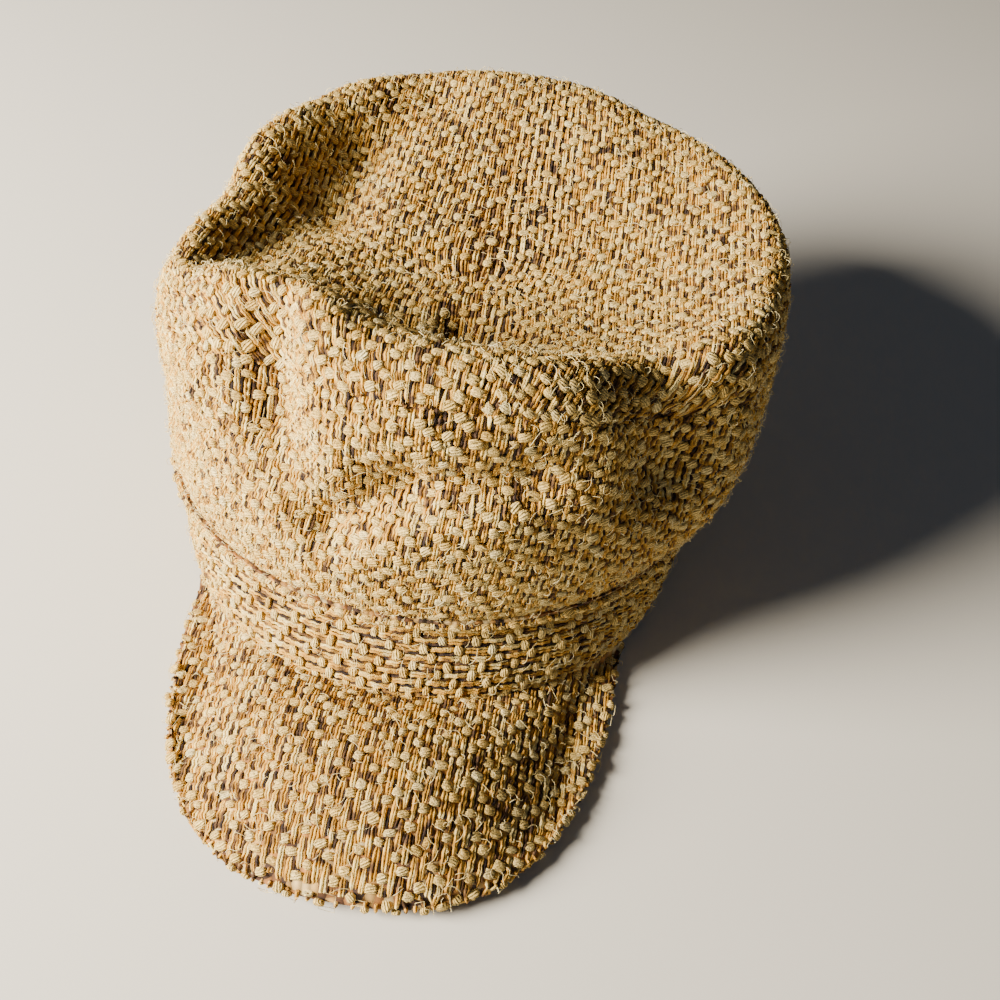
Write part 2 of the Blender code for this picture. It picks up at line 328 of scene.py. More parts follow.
def new_tree(name, sizes):
    """A Geometry Nodes tree with a mesh in, a mesh out, a material and named sizes."""
    tree = bpy.data.node_groups.new(name, "GeometryNodeTree")
    face = tree.interface
    face.new_socket("Mesh", in_out="OUTPUT", socket_type="NodeSocketGeometry")
    face.new_socket("Mesh", in_out="INPUT", socket_type="NodeSocketGeometry")
    face.new_socket("Material", in_out="INPUT", socket_type="NodeSocketMaterial")
    for size, value in sizes.items():
        face.new_socket(size, in_out="INPUT", socket_type="NodeSocketFloat").default_value = value
    return tree, add(tree, "NodeGroupInput").outputs


def end_tree(tree, given, shape):
    """Ends a tree: one smooth mesh in its own material."""
    whole = add(tree, "GeometryNodeRealizeInstances", {"Geometry": shape})
    smooth = add(tree, "GeometryNodeSetShadeSmooth", {"Geometry": whole})
    dyed = add(tree, "GeometryNodeSetMaterial", {"Geometry": smooth, "Material": given["Material"]})
    add(tree, "NodeGroupOutput", {"Mesh": dyed})


def field(tree, name, data_type="FLOAT"):
    """The numbers or vectors that a mesh holds under a name."""
    return add(tree, "GeometryNodeInputNamedAttribute", {"Name": name}, data_type=data_type)


# Yarn laid along its path: a soft tube as thick as each point of the path says.
yarn_tree, given = new_tree("yarn", {"Radius": STRAND_RADIUS})
path = add(yarn_tree, "GeometryNodeMeshToCurve", {"Mesh": given["Mesh"]})
swelling = add(yarn_tree, "GeometryNodeSetCurveRadius",
               {"Curve": path, "Radius": field(yarn_tree, "thickness")})
ring = add(yarn_tree, "GeometryNodeCurvePrimitiveCircle", {"Resolution": 4, "Radius": given["Radius"]})
ring_spot = add(yarn_tree, "GeometryNodeInputPosition")
marked_ring = add(yarn_tree, "GeometryNodeStoreNamedAttribute",
                  {"Geometry": ring, "Name": "round", "Value": ring_spot},
                  data_type="FLOAT_VECTOR", domain="POINT")
tube = add(yarn_tree, "GeometryNodeCurveToMesh",
           {"Curve": swelling, "Profile Curve": marked_ring, "Fill Caps": True})
round_part = add(yarn_tree, "ShaderNodeSeparateXYZ", {0: field(yarn_tree, "round", "FLOAT_VECTOR")})
fibre = add(yarn_tree, "ShaderNodeCombineXYZ",
            {0: round_part, 1: round_part.outputs[1], 2: field(yarn_tree, "run")})
combed = add(yarn_tree, "GeometryNodeStoreNamedAttribute",
             {"Geometry": tube, "Name": "fibre", "Value": fibre},
             data_type="FLOAT_VECTOR", domain="POINT")
end_tree(yarn_tree, given, combed)

# A nub: the weft where it comes up over one warp end, a squarish pebble of several plies.
NUB_WIDTH = 0.0043
NUB_LENGTH = 0.0034
NUB_HEIGHT = 0.0021
SQUARENESS = 0.62  # 1 makes a round pebble, less a squarer one
NUB_FILL = 0.46  # a squared ball is fuller than a round one, so it reaches less than half its size
NUB_CLEAR = 0.0022  # the middle of a nub stays this far above the table
UNEVEN = 0.0009  # how far a nub's skin wanders
LUMPS_PER_METRE = 420.0
nub_tree, given = new_tree("nubs", {
    "Width": NUB_WIDTH, "Length": NUB_LENGTH, "Height": NUB_HEIGHT,
    "Squareness": SQUARENESS, "Uneven": UNEVEN})
ball = add(nub_tree, "GeometryNodeMeshUVSphere", {"Segments": 8, "Rings": 6, "Radius": 1.0})
spot = add(nub_tree, "GeometryNodeInputPosition")
sides = []
for side in range(3):
    part = add(nub_tree, "ShaderNodeSeparateXYZ", {0: spot}).outputs[side]
    size = add(nub_tree, "ShaderNodeMath", {0: part}, operation="ABSOLUTE")
    square = add(nub_tree, "ShaderNodeMath", {0: size, 1: given["Squareness"]}, operation="POWER")
    way = add(nub_tree, "ShaderNodeMath", {0: part}, operation="SIGN")
    sides.append(add(nub_tree, "ShaderNodeMath", {0: square, 1: way}, operation="MULTIPLY"))
squared = add(nub_tree, "ShaderNodeCombineXYZ", dict(enumerate(sides)))
form = add(nub_tree, "ShaderNodeCombineXYZ",
           {"X": given["Width"], "Y": given["Length"], "Z": given["Height"]})
half = add(nub_tree, "ShaderNodeVectorMath", {0: squared, 1: (NUB_FILL,) * 3}, operation="MULTIPLY")
sized = add(nub_tree, "ShaderNodeVectorMath", {0: half, 1: form}, operation="MULTIPLY")
marked = add(nub_tree, "GeometryNodeStoreNamedAttribute", {"Geometry": ball, "Name": "ply", "Value": spot},
             data_type="FLOAT_VECTOR", domain="POINT")
pebble = add(nub_tree, "GeometryNodeSetPosition", {"Geometry": marked, "Position": sized})
turned = add(nub_tree, "FunctionNodeAxesToRotation",
             {0: field(nub_tree, "outward", "FLOAT_VECTOR"), 1: field(nub_tree, "across", "FLOAT_VECTOR")},
             primary_axis="Z", secondary_axis="X")
scattered = add(nub_tree, "GeometryNodeInstanceOnPoints", {
    "Points": given["Mesh"], "Instance": pebble, "Rotation": turned,
    "Scale": field(nub_tree, "size", "FLOAT_VECTOR")})
laid = add(nub_tree, "GeometryNodeRealizeInstances", {"Geometry": scattered})
lumps = add(nub_tree, "ShaderNodeTexNoise", {"Scale": LUMPS_PER_METRE, "Detail": 1.0})
centred = add(nub_tree, "ShaderNodeVectorMath", {0: lumps.outputs["Color"], 1: (0.5, 0.5, 0.5)},
              operation="SUBTRACT")
lumpy = add(nub_tree, "ShaderNodeVectorMath", {0: centred, "Scale": given["Uneven"]}, operation="SCALE")
rough = add(nub_tree, "GeometryNodeSetPosition", {"Geometry": laid, "Offset": lumpy})
ply_part = add(nub_tree, "ShaderNodeSeparateXYZ", {0: field(nub_tree, "ply", "FLOAT_VECTOR")})
run = add(nub_tree, "ShaderNodeMath",
          {0: ply_part, 1: FIBRE_STRETCH * NUB_WIDTH / 2, 2: field(nub_tree, "tint")},
          operation="MULTIPLY_ADD")
fibre = add(nub_tree, "ShaderNodeCombineXYZ", {2: run})
for side, reach in ((1, NUB_LENGTH / 2), (2, NUB_HEIGHT / 2)):
    wide = add(nub_tree, "ShaderNodeMath", {0: ply_part.outputs[side], 1: reach}, operation="MULTIPLY")
    nub_tree.links.new(wide.outputs[0], fibre.inputs[side - 1])
combed = add(nub_tree, "GeometryNodeStoreNamedAttribute",
             {"Geometry": rough, "Name": "fibre", "Value": fibre},
             data_type="FLOAT_VECTOR", domain="POINT")
end_tree(nub_tree, given, combed)

# Undyed weft, a soft roving of several plies: creamy, its plies showing as fine ridges, with painted shade
# darkening the grooves between them.
WEFT_COLOURS = ((0.0, "#C49848"), (0.25, "#E8C068"), (0.6, "#FADA88"), (1.0, "#FFEFB4"))
PLIES_ACROSS = 2.4  # ridges along half of a nub's length
PLY_SLANT = -0.4
PLY_BUMP = {"Strength": 0.7, "Distance": 0.0003}
# Painted shade: the weft's colour darkens in the grooves between its ridges.
GROOVE_PAINTED_SHADE = {1: -1.0, 2: 0.2, 3: 0.62, 4: 1.0}  # ridge from and to, brightness from and to
weft_wool = wool("woven_cream_weft", WEFT_COLOURS)
weft_nodes = weft_wool.node_tree
weft_shader = weft_nodes.nodes["Principled BSDF"]
ply = add(weft_nodes, "ShaderNodeAttribute", attribute_name="ply").outputs["Vector"]
apart = add(weft_nodes, "ShaderNodeSeparateXYZ", {0: ply})
slant = add(weft_nodes, "ShaderNodeMath", {0: apart.outputs["X"], 1: PLY_SLANT, 2: apart.outputs["Y"]},
            operation="MULTIPLY_ADD")
ridge = add(weft_nodes, "ShaderNodeMath", {0: slant, 1: 2 * math.pi * PLIES_ACROSS}, operation="MULTIPLY")
ridges = add(weft_nodes, "ShaderNodeMath", {0: ridge}, operation="SINE")
old_bump = next(node for node in weft_nodes.nodes if node.bl_idname == "ShaderNodeBump")
plied = add(weft_nodes, "ShaderNodeBump",
            {"Height": ridges, "Normal": old_bump, **PLY_BUMP})
weft_nodes.links.new(plied.outputs["Normal"], weft_shader.inputs["Normal"])
# Painted shade in the ply grooves, multiplied into the weft's colour.
groove_painted_shade = add(weft_nodes, "ShaderNodeMapRange", {"Value": ridges, **GROOVE_PAINTED_SHADE})
plain = next(node for node in weft_nodes.nodes if node.bl_idname == "ShaderNodeMix")
weft_with_painted_shade = add(weft_nodes, "ShaderNodeMix", {0: 1.0, 6: plain.outputs[2], 7: groove_painted_shade},
             data_type="RGBA", blend_type="MULTIPLY")
weft_nodes.links.new(weft_with_painted_shade.outputs[2], weft_shader.inputs["Base Color"])


def grow(name, mesh, tree, material, slot, **sizes):
    """Runs a tree on a seed mesh and keeps the result as a plain mesh on the cap's body."""
    seed = bpy.data.objects.new(name + "_seed", mesh)
    bpy.context.collection.objects.link(seed)
    growth = seed.modifiers.new("growth", "NODES")
    growth.node_group = tree
    for socket in tree.interface.items_tree:
        if socket.in_out == "INPUT" and socket.name == "Material":
            growth[socket.identifier] = material
        elif socket.in_out == "INPUT" and socket.name in sizes:
            growth[socket.identifier] = sizes[socket.name]
    grown = bpy.data.meshes.new_from_object(seed.evaluated_get(bpy.context.evaluated_depsgraph_get()))
    bpy.data.objects.remove(seed)
    piece = bpy.data.objects.new(name, grown)
    bpy.context.collection.objects.link(piece)
    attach(piece, "root")


def lay_warp(name, lay, lines, slot):
    """Grows the strands of a piece. lay gives points, normals and what is on the piece."""
    across, along, lift, thickness, tint, run = lines
    points, _, on = lay(across, along, lift)
    near = on.copy()
    near[:, 1:] |= on[:, :-1]
    near[:, :-1] |= on[:, 1:]
    number = np.cumsum(near.ravel()).reshape(near.shape) - 1
    joined = near[:, 1:] & near[:, :-1] & (np.linalg.norm(np.diff(points, axis=1), axis=-1) < PICK)
    edges = np.stack([number[:, :-1][joined], number[:, 1:][joined]], axis=-1)
    mesh = seed_mesh(name, points[near], edges,
                     {"thickness": thickness[near], "tint": tint[near], "run": run[near]})
    grow(name, mesh, yarn_tree, warp_wool, slot)


NUB_LIFT_SPREAD = 0.00015
NUB_TWIST = 10  # degrees
NUB_SIZE_SPREAD = 0.10
NUB_SIZES = (0.78, 1.25)
NUB_TINT = 0.55
NUB_TINT_SPREAD = 0.13
NUB_STEP = 0.0004  # how far off the cloth is felt for, to find which way it runs


def lay_nubs(name, lay, ends, picks, spacing, pick, rng, slot, margin):
    """Grows the nubs of a piece, margin picks from its edge, where the weft comes up over an end."""
    end, pick_row = (grid.ravel() for grid in np.meshgrid(ends, picks))
    up = pick_row % 4 == end_row(end)
    across = (end[up] + 0.5) * spacing
    along = pick_row[up] * pick
    lift = NUB_LIFT + rng.normal(0, NUB_LIFT_SPREAD, across.shape)
    points, normals, on = lay(across, along, lift)
    tilt = np.radians(rng.normal(0, NUB_TWIST, across.shape))
    side = lay(across + NUB_STEP * np.cos(tilt), along + NUB_STEP * np.sin(tilt), lift)[0] - points
    for shift in (margin * pick, -margin * pick):
        on = on & lay(across, along + shift, lift)[2]
    points[..., 2] = np.maximum(points[..., 2], NUB_CLEAR)
    size = rng.normal(1.0, NUB_SIZE_SPREAD, (len(across), 3)).clip(*NUB_SIZES)
    tint = rng.normal(NUB_TINT, NUB_TINT_SPREAD, across.shape).clip(0.0, 1.0)
    mesh = seed_mesh(name, points[on], [], {
        "outward": normals[on], "across": direction(side[on]), "size": size[on], "tint": tint[on]})
    grow(name, mesh, nub_tree, weft_wool, slot)


# Stray fibres: pale fleece that has worked loose and lies curled on the cloth.
FIBRE_COLOURS = ((0.0, "#F2DC98"), (1.0, "#FFF3C4"))
WISP_RADIUS = 0.00008
WISP_STEPS = 5
WISP_SPACING = 0.0044  # one stray fibre in a square of this side
WISP_LENGTHS = (0.0015, 0.0070)
WISP_CURL = 2.0  # radians
WISP_LIFT = 0.0009
WISP_LOOP = 0.0016  # how far the middle of a stray fibre stands off at most
WISP_TAPER = 0.7
loose_wool = wool("loose_undyed_fleece", FIBRE_COLOURS)


def lay_wisps(name, lay, low, high, rng, slot):
    """Grows stray fibres that start at random over a rectangle of cloth, from its two corners."""
    share = np.linspace(0, 1, WISP_STEPS)[None]
    count = int((high[0] - low[0]) * (high[1] - low[1]) / WISP_SPACING ** 2)
    across, along = (rng.uniform(low[side], high[side], count) for side in (0, 1))
    turn = rng.uniform(0, 2 * math.pi, (count, 1)) + rng.normal(0, WISP_CURL, (count, 1)) * share
    step = rng.uniform(*WISP_LENGTHS, (count, 1)) / WISP_STEPS
    lift = WISP_LIFT + rng.uniform(0.0, WISP_LOOP, (count, 1)) * np.sin(math.pi * share)
    points, _, on = lay(across[:, None] + np.cumsum(step * np.cos(turn), axis=1),
                        along[:, None] + np.cumsum(step * np.sin(turn), axis=1), lift)
    points = points[on.all(axis=1)]
    count = len(points)
    taper = np.broadcast_to(1 - WISP_TAPER * np.abs(2 * share - 1) ** 3, (count, WISP_STEPS))
    tint = np.broadcast_to(rng.uniform(0, 1, (count, 1)), (count, WISP_STEPS))
    mesh = seed_mesh(name, points.reshape(-1, 3), chains(count, WISP_STEPS),
                     {"thickness": taper.ravel(), "tint": tint.ravel(), "run": tint.ravel()})
    grow(name, mesh, yarn_tree, loose_wool, slot, Radius=WISP_RADIUS)


def dress(name, lay, parts, span, picks, spacing, pick, strays, seed, margin=0.2):
    """Lays a piece's warp, in parts that each have some ends, then its nubs and stray fibres."""
    rng = np.random.default_rng(seed)
    slot = name + "_tweed"
    for part, first, last in parts:
        lines = warp_lines(np.arange(first, last), *span, spacing, pick, rng)
        lay_warp(name + "_warp" + part, lay, lines, slot)
    ends = np.arange(parts[0][1], parts[-1][2])
    lay_nubs(name + "_nubs", lay, ends, np.arange(*picks), spacing, pick, rng, slot, margin)
    lay_wisps(name + "_fluff", lay, *strays, rng, slot)


# The wall under the yarns, seen inside the cap: the back of the same cloth. The same weave is
# drawn by nodes there, from the cloth's own coordinates in ends and picks.
BACK_COLOURS = (
    (0.0, "#2E2124"), (0.25, "#6B4429"), (0.5, "#B87C3C"), (0.78, "#D9AE66"), (1.0, "#EBD7A4"))
KNOT_WANDER = 0.55  # how far the crossings of the yarns lie off an even grid
# Painted shade: each crossing darkens from its middle towards the gaps round it.
KNOT_PAINTED_SHADE = {1: 0.1, 2: 0.7, 3: 1.1, 4: 0.35}  # distance from and to, brightness from and to
KNOT_BUMP = {"Strength": 0.8, "Distance": 0.001}
cloth_back = bpy.data.materials.new("woven_tweed_back")
cloth_back.use_nodes = True
back = cloth_back.node_tree
back_shader = back.nodes["Principled BSDF"]
cells = add(back, "ShaderNodeUVMap", uv_map="Cloth")
knots = add(back, "ShaderNodeTexVoronoi", {"Vector": cells, "Scale": 1.0, "Randomness": KNOT_WANDER})
toned = add(back, "ShaderNodeSeparateColor", {0: knots.outputs["Color"]})
back_colour = ramp(back, toned, BACK_COLOURS)
# Painted shade in the gaps between the yarn crossings, multiplied into the colour.
shade = add(back, "ShaderNodeMapRange", {"Value": knots, **KNOT_PAINTED_SHADE})
back_with_painted_shade = add(back, "ShaderNodeMix", {0: 1.0, 6: back_colour, 7: shade},
               data_type="RGBA", blend_type="MULTIPLY")
back_bump = add(back, "ShaderNodeBump", {"Height": knots, **KNOT_BUMP}, invert=True)
back.links.new(back_with_painted_shade.outputs[2], back_shader.inputs["Base Color"])
back.links.new(back_bump.outputs["Normal"], back_shader.inputs["Normal"])
back_shader.inputs["Roughness"].default_value = WOOL_ROUGHNESS
back_shader.inputs["Sheen Weight"].default_value = WOOL_SHEEN
back_shader.inputs["Sheen Tint"].default_value = linear(WOOL_GLANCE)


SHARP = 50.0  # degrees


def cloth_wall(name, points, faces, corners, node):
    """A piece's wall from its faces and the cloth's coordinates at their corners."""
    mesh = bpy.data.meshes.new(name)
    mesh.from_pydata(points, [], faces)
    mesh.uv_layers.new(name="Cloth").uv.foreach_set("vector", np.array(corners, np.float32).ravel())
    mesh.shade_smooth()
    mesh.set_sharp_from_angle(angle=math.radians(SHARP))
    mesh.materials.append(cloth_back)
    piece = bpy.data.objects.new(name, mesh)
    bpy.context.collection.objects.link(piece)
    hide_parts(node)
    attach(piece, "root")


def wall_piece(name, outside, inside, flat, closed, node):
    """A tweed wall round the cap, closed in its middle or open at both ends.

    flat holds the cloth's coordinates, one column more than the outside has.
    """
    rows, around = outside.shape[:2]
    order = list(range(rows)) + list(range(rows - 1, -1, -1))
    grid = np.concatenate([outside, inside[::-1]])
    faces = []
    corners = []
    for row in range(2 * rows):
        after = (row + 1) % (2 * rows)
        if closed and row == rows - 1:
            continue
        for step in range(around):
            turn = (step + 1) % around
            quad = (row, step, step), (row, turn, step + 1), (after, turn, step + 1), (after, step, step)
            faces.append([r * around + place for r, place, _ in quad])
            corners += [flat[order[r], column] for r, _, column in quad]
    points = grid.reshape(-1, 3).tolist()
    if closed:
        for row, way in ((rows - 1, 1), (rows, -1)):
            points.append(grid[row].mean(axis=0).tolist())
            for step in range(around):
                turn = (step + 1) % around
                faces.append((row * around + step, row * around + turn, len(points) - 1)[::way])
                corners += [flat[order[row], step], flat[order[row], step + 1], (0.0, 0.0)][::way]
    cloth_wall(name, points, faces, corners, node)


def table_at(table, row, column):
    """Reads a table between its rows and columns, stopping just short of the last ones."""
    row, column = (np.clip(place, 0, size - 1 - NUDGE) for place, size in zip((row, column), table.shape))
    r, c = row.astype(int), column.astype(int)
    u, v = row - r, column - c
    return ((1 - u) * ((1 - v) * table[r, c] + v * table[r, c + 1])
            + u * ((1 - v) * table[r + 1, c] + v * table[r + 1, c + 1]))


def run_length(points, axis):
    """Distance run along one axis of a grid of points, from 0."""
    steps = np.linalg.norm(np.diff(points, axis=axis), axis=-1)
    start = np.zeros_like(np.take(steps, [0], axis=axis))
    return np.concatenate([start, np.cumsum(steps, axis=axis)], axis=axis)


AROUND = 256
BAND_ROWS = 12
ROUND = np.linspace(0, 2 * math.pi, AROUND + 1)
angle, level = np.meshgrid(ROUND, np.linspace(0, 1, BAND_ROWS + 1))
band_outside = band_point(angle, level)
band_round = run_length(band_outside[BAND_ROWS // 2], 0)
band_picks = 4 * round(band_round[-1] / PICK / 4)
band_pick = band_round[-1] / band_picks
band_tall = run_length(band_outside, 0)[-1].mean()
TABLE_CLEAR = 0.0009  # a strand's middle stays this far above the table


def dip(depth, edge):
    """How far the yarns sink at some distance from a seam."""
    return depth * np.exp(-(edge / SEAM_REACH) ** 2)


def lay_band(across, along, lift):
    """Cloth of the band: the ends lie over each other, the picks follow round the cap."""
    angle = np.interp(along % band_round[-1], band_round, ROUND)
    level = across / band_tall
    on = (level > 0.0) & (level < 1.0)
    level = level.clip(0.0, 1.0)
    edge = np.minimum(level, 1 - level) * band_tall
    normal = outward(band_point, angle, level)
    point = band_point(angle, level) + normal * (lift - dip(SEAM_DIP, edge))[..., None]
    point[..., 2] = np.maximum(point[..., 2], TABLE_CLEAR)
    return point, normal, on


band_in = band_outside - SUNK * outward(band_point, angle, level)
band_inner = band_outside - WALL * outward(band_point, angle, level)
band_flat = np.stack([band_round[None] / band_pick + 0 * level, level * band_tall / END], axis=-1)
wall_piece("band_wall", band_in[:, :-1], band_inner[:, :-1], band_flat, False, "band")
EDGE_CLEAR = 0.002  # stray fibres start this far from a seam
dress("band", lay_band, (("", 0, int(band_tall / END) + 1),), (0.0, band_round[-1]), (0, band_picks),
      END, band_pick, ((EDGE_CLEAR, 0.0), (band_tall - EDGE_CLEAR, band_round[-1])), 11, margin=0.0)

# The loose thread
# A pale weft thread that has worked out of the seam above the band, at the front. It has frayed
# into a few plies that lie along the band just under the seam.
THREAD_FROM = 272.0  # degrees round from the left
THREAD_TO = 302.0
THREAD_PLIES = 5
THREAD_LEVEL = 0.83
THREAD_RADIUS = 0.00030
THREAD_LIFT = 0.0023
THREAD_TINT = 0.6
THREAD_STARTS = (0.0, 0.25)  # as shares of its run
THREAD_ENDS = (0.7, 1.0)
steps = 60
rng = np.random.default_rng(15)
thread_from, thread_to = np.interp(np.radians((THREAD_FROM, THREAD_TO)), ROUND, band_round)
run = np.linspace(0, 1, steps)[None]
start = rng.uniform(*THREAD_STARTS, (THREAD_PLIES, 1))
stop = rng.uniform(*THREAD_ENDS, (THREAD_PLIES, 1))
along = thread_from + (thread_to - thread_from) * (start + (stop - start) * run)
wide_wave, fine_wave, rise = (
    size * np.sin(along / length + rng.uniform(0, ANY_PHASE, (THREAD_PLIES, 1)))
    for size, length in ((0.0006, 0.0031), (0.0004, 0.0013), (0.0004, 0.0021)))
points = lay_band(THREAD_LEVEL * band_tall + (wide_wave + fine_wave), along, THREAD_LIFT + rise)[0]
mesh = seed_mesh("band_thread", points.reshape(-1, 3), chains(THREAD_PLIES, steps), {
    "thickness": np.ones(along.size), "tint": np.full(along.size, THREAD_TINT), "run": along.ravel()})
grow("band_thread", mesh, yarn_tree, loose_wool, "band_tweed", Radius=THREAD_RADIUS)

# The side crown
# One ring of tweed with its warp upright, gathered on to the band below and sewn to the round
# top above. It bulges out over the band and has slumped into dents where the cap lies.
CROWN_WIDTH = 0.226
CROWN_FRONT = 0.066
CROWN_BACK = 0.157
CROWN_HEIGHT = 0.137
CROWN_LEAN = 0.007
SIDE_SECTIONS = (
    # free, half_width, front, back, z_front, z_side, z_back, as shares
    (0.25, 1.018, 1.580, 0.800, 0.330, 0.280, 0.120),
    (0.50, 1.012, 1.395, 0.880, 0.530, 0.370, 0.230),
    (0.75, 0.985, 1.212, 0.930, 0.680, 0.420, 0.320),
    (0.90, 0.984, 1.084, 0.955, 0.790, 0.480, 0.420),
)
TOP_SECTIONS = (
    # free, half_width, front, back, z_front, z_side, z_back, as shares
    (1.00, 0.990, 0.960, 0.975, 0.900, 0.560, 0.520),
    (1.00, 1.000, 0.870, 0.993, 0.965, 0.660, 0.650),
    (1.00, 0.972, 0.763, 0.978, 0.990, 0.750, 0.770),
    (1.00, 0.898, 0.626, 0.906, 0.947, 0.774, 0.806),
    (1.00, 0.741, 0.409, 0.761, 0.802, 0.716, 0.757),
    (1.00, 0.509, 0.091, 0.565, 0.686, 0.648, 0.668),
    (1.00, 0.259, -0.227, 0.348, 0.619, 0.609, 0.619),
    (1.00, 0.000, -0.485, 0.213, 0.599, 0.599, 0.599),
)
DENTS = (
    # name, from_angle, from_level, to_angle, to_level, half_width, depth
    ("left_front_valley", -117, 1.22, -112, 0.72, 0.050, 0.026),
    ("right_front_valley", -57, 1.18, -50, 0.78, 0.055, 0.028),
    ("front_crease_left", -108, 0.57, -98, 0.74, 0.035, 0.010),
    ("front_crease_right", -97, 0.75, -64, 0.87, 0.035, 0.010),
    ("dent_behind_the_fold", -112, 1.72, -84, 1.70, 0.065, 0.046),
    ("top_valley_back", 112, 1.50, 150, 1.60, 0.075, 0.026),
    ("top_valley_left", 166, 1.64, 208, 1.48, 0.070, 0.034),
    ("left_back_flat", 152, 1.15, 176, 1.15, 0.150, 0.052),
    ("left_back_notch", 180, 1.40, 176, 0.95, 0.080, 0.034),
    ("left_rim_slump", 196, 1.25, 216, 1.30, 0.080, 0.014),
    ("left_bulge", 204, 0.92, 224, 0.92, 0.090, -0.022),
    ("left_front_hump", 226, 1.42, 250, 1.36, 0.060, -0.014),
    ("right_front_dip", -62, 1.34, -54, 1.40, 0.075, 0.012),
    ("right_bulge", -28, 0.55, 15, 0.60, 0.090, -0.024),
)
DENT_LEVELS = 0.8
CREASES = (
    # the smaller folds, of the cloth alone, in the same columns
    ("right_back_shoulder", 64, 1.55, -4, 1.52, 0.055, -0.004),
    ("right_back_rim", 60, 1.30, -10, 1.28, 0.080, 0.012),
    ("front_fold_left", -104, 0.54, -92, 0.72, 0.032, 0.032),
    ("front_fold_right", -92, 0.72, -72, 0.80, 0.032, 0.022),
    ("above_the_fold", -110, 0.74, -92, 0.92, 0.050, -0.006),
    ("below_the_fold", -98, 0.50, -76, 0.64, 0.050, -0.008),
    ("left_valley", -118, 1.08, -117, 0.84, 0.036, 0.030),
    ("left_rim_fill", -128, 1.32, -112, 1.34, 0.060, -0.018),
    ("right_valley", -50, 1.28, -44, 0.78, 0.052, 0.030),
    ("right_of_the_valley", -34, 1.12, -32, 0.80, 0.045, -0.012),
    ("pit_behind_the_fold", -92, 1.82, -76, 1.80, 0.032, 0.038),
    ("top_valley", 136, 1.60, 160, 1.70, 0.050, 0.026),
    ("left_of_the_top_valley", 150, 1.42, 178, 1.46, 0.055, -0.014),
    ("ridge_of_the_fold", -116, 1.42, -100, 1.50, 0.060, -0.016),
)
TUCK = (0.000, 0.020, 0.0030)  # level, reach and depth of the groove at the band's seam
LIP = (0.080, 0.055, 0.0070)  # and of the soft lip of cloth that hangs over it


def crown_sections():
    """The crown's sections in metres, each drawn from the band's seam towards its own shape."""
    seam = band_sections()[-1]
    shares = np.array(SIDE_SECTIONS + TOP_SECTIONS)
    rise = CROWN_HEIGHT - BAND_HEIGHT
    own = shares[:, 1:] * np.array((CROWN_WIDTH / 2, CROWN_FRONT, CROWN_BACK, rise, rise, rise))
    own[:, 3:] += BAND_HEIGHT
    free = shares[:, :1]
    return np.concatenate([seam[None], (1 - free) * seam + free * own])


def plain_crown(angle, level):
    """The crown's outside without dents; level is 0 at the band, 1 at the top's seam, 2 mid."""
    sections = crown_sections()
    side = len(SIDE_SECTIONS) + 1
    top = len(TOP_SECTIONS) - 1
    place = np.where(level < 1, level * side, side + (level - 1) * top)
    point = oval_point(between(sections, place), angle)
    point[..., 0] += CROWN_LEAN * np.sin(math.pi / 2 * np.minimum(level, 1.0)) ** 2
    return point


def crown_point(angle, level):
    """The crown's outside with its dents pressed in and its lip over the band."""
    point = plain_crown(angle, level)
    for _, angle_a, level_a, angle_b, level_b, half_width, depth in DENTS + CREASES:
        places = np.radians((angle_a, angle_b)), np.array((level_a, level_b))
        start, end = plain_crown(*places)
        normal_a, normal_b = outward(plain_crown, *places)
        run = end - start
        share = np.clip((point - start) @ run / max(run @ run, TINY), 0.0, 1.0)[..., None]
        away = np.linalg.norm(point - start - share * run, axis=-1, keepdims=True)
        off_level = level[..., None] - level_a - share * (level_b - level_a)
        press = np.exp(-(away / (half_width * CROWN_WIDTH)) ** 2 - (off_level / DENT_LEVELS) ** 2)
        inwards = -direction(normal_a + share * (normal_b - normal_a))
        point = point + depth * CROWN_WIDTH * press * inwards
    tuck, lip = (size * np.exp(-((level - middle) / reach) ** 2) for middle, reach, size in (TUCK, LIP))
    return point + (lip - tuck)[..., None] * direction((point - HEAD_CENTRE) * LEVEL_ONLY)


EASED = 0.90  # the ring is eased on to the band and the top, which crowds its yarns
TIP_DIP = 0.0003  # the seam round the top is pressed open, so it shows as a faint line
SIDE_ROWS = 40
SIDE_WIDEST = 24  # the row round which the ends are counted
SIDE_STEPS = 160
PAST = 1.02  # the tables run this much past the cloth

side_levels = np.linspace(0, 1, SIDE_ROWS + 1)
angle, level = np.meshgrid(ROUND, side_levels)
side_outside = crown_point(angle, level)
side_normal = outward(crown_point, angle, level)
side_up = run_length(side_outside, 0)
side_round = run_length(side_outside[SIDE_WIDEST], 0)
side_count = 4 * round(side_round[-1] / (EASED * END) / 4)
side_end = side_round[-1] / side_count
side_pick = EASED * PICK
side_reach = np.linspace(0, side_up.max() * PAST, SIDE_STEPS)
side_level_at = np.stack([
    np.interp(side_reach, column, side_levels, right=1.2) for column in side_up.T])


def lay_side(across, along, lift):
    """Cloth of the side crown: the ends stand upright, the picks follow round the cap."""
    angle = np.interp(across % side_round[-1], side_round, ROUND)
    row = angle / (2 * math.pi) * (len(ROUND) - 1)
    tall = np.interp(angle, ROUND, side_up[-1])
    on = (along > 0.0) & (along < tall)
    level = table_at(side_level_at, row, along.clip(0.0, side_reach[-1]) / side_reach[1]).clip(0.0, 1.0)
    normal = outward(crown_point, angle, level)
    sink = dip(SEAM_DIP, along.clip(0.0)) + dip(TIP_DIP, (tall - along).clip(0.0))
    return crown_point(angle, level) + normal * (lift - sink)[..., None], normal, on


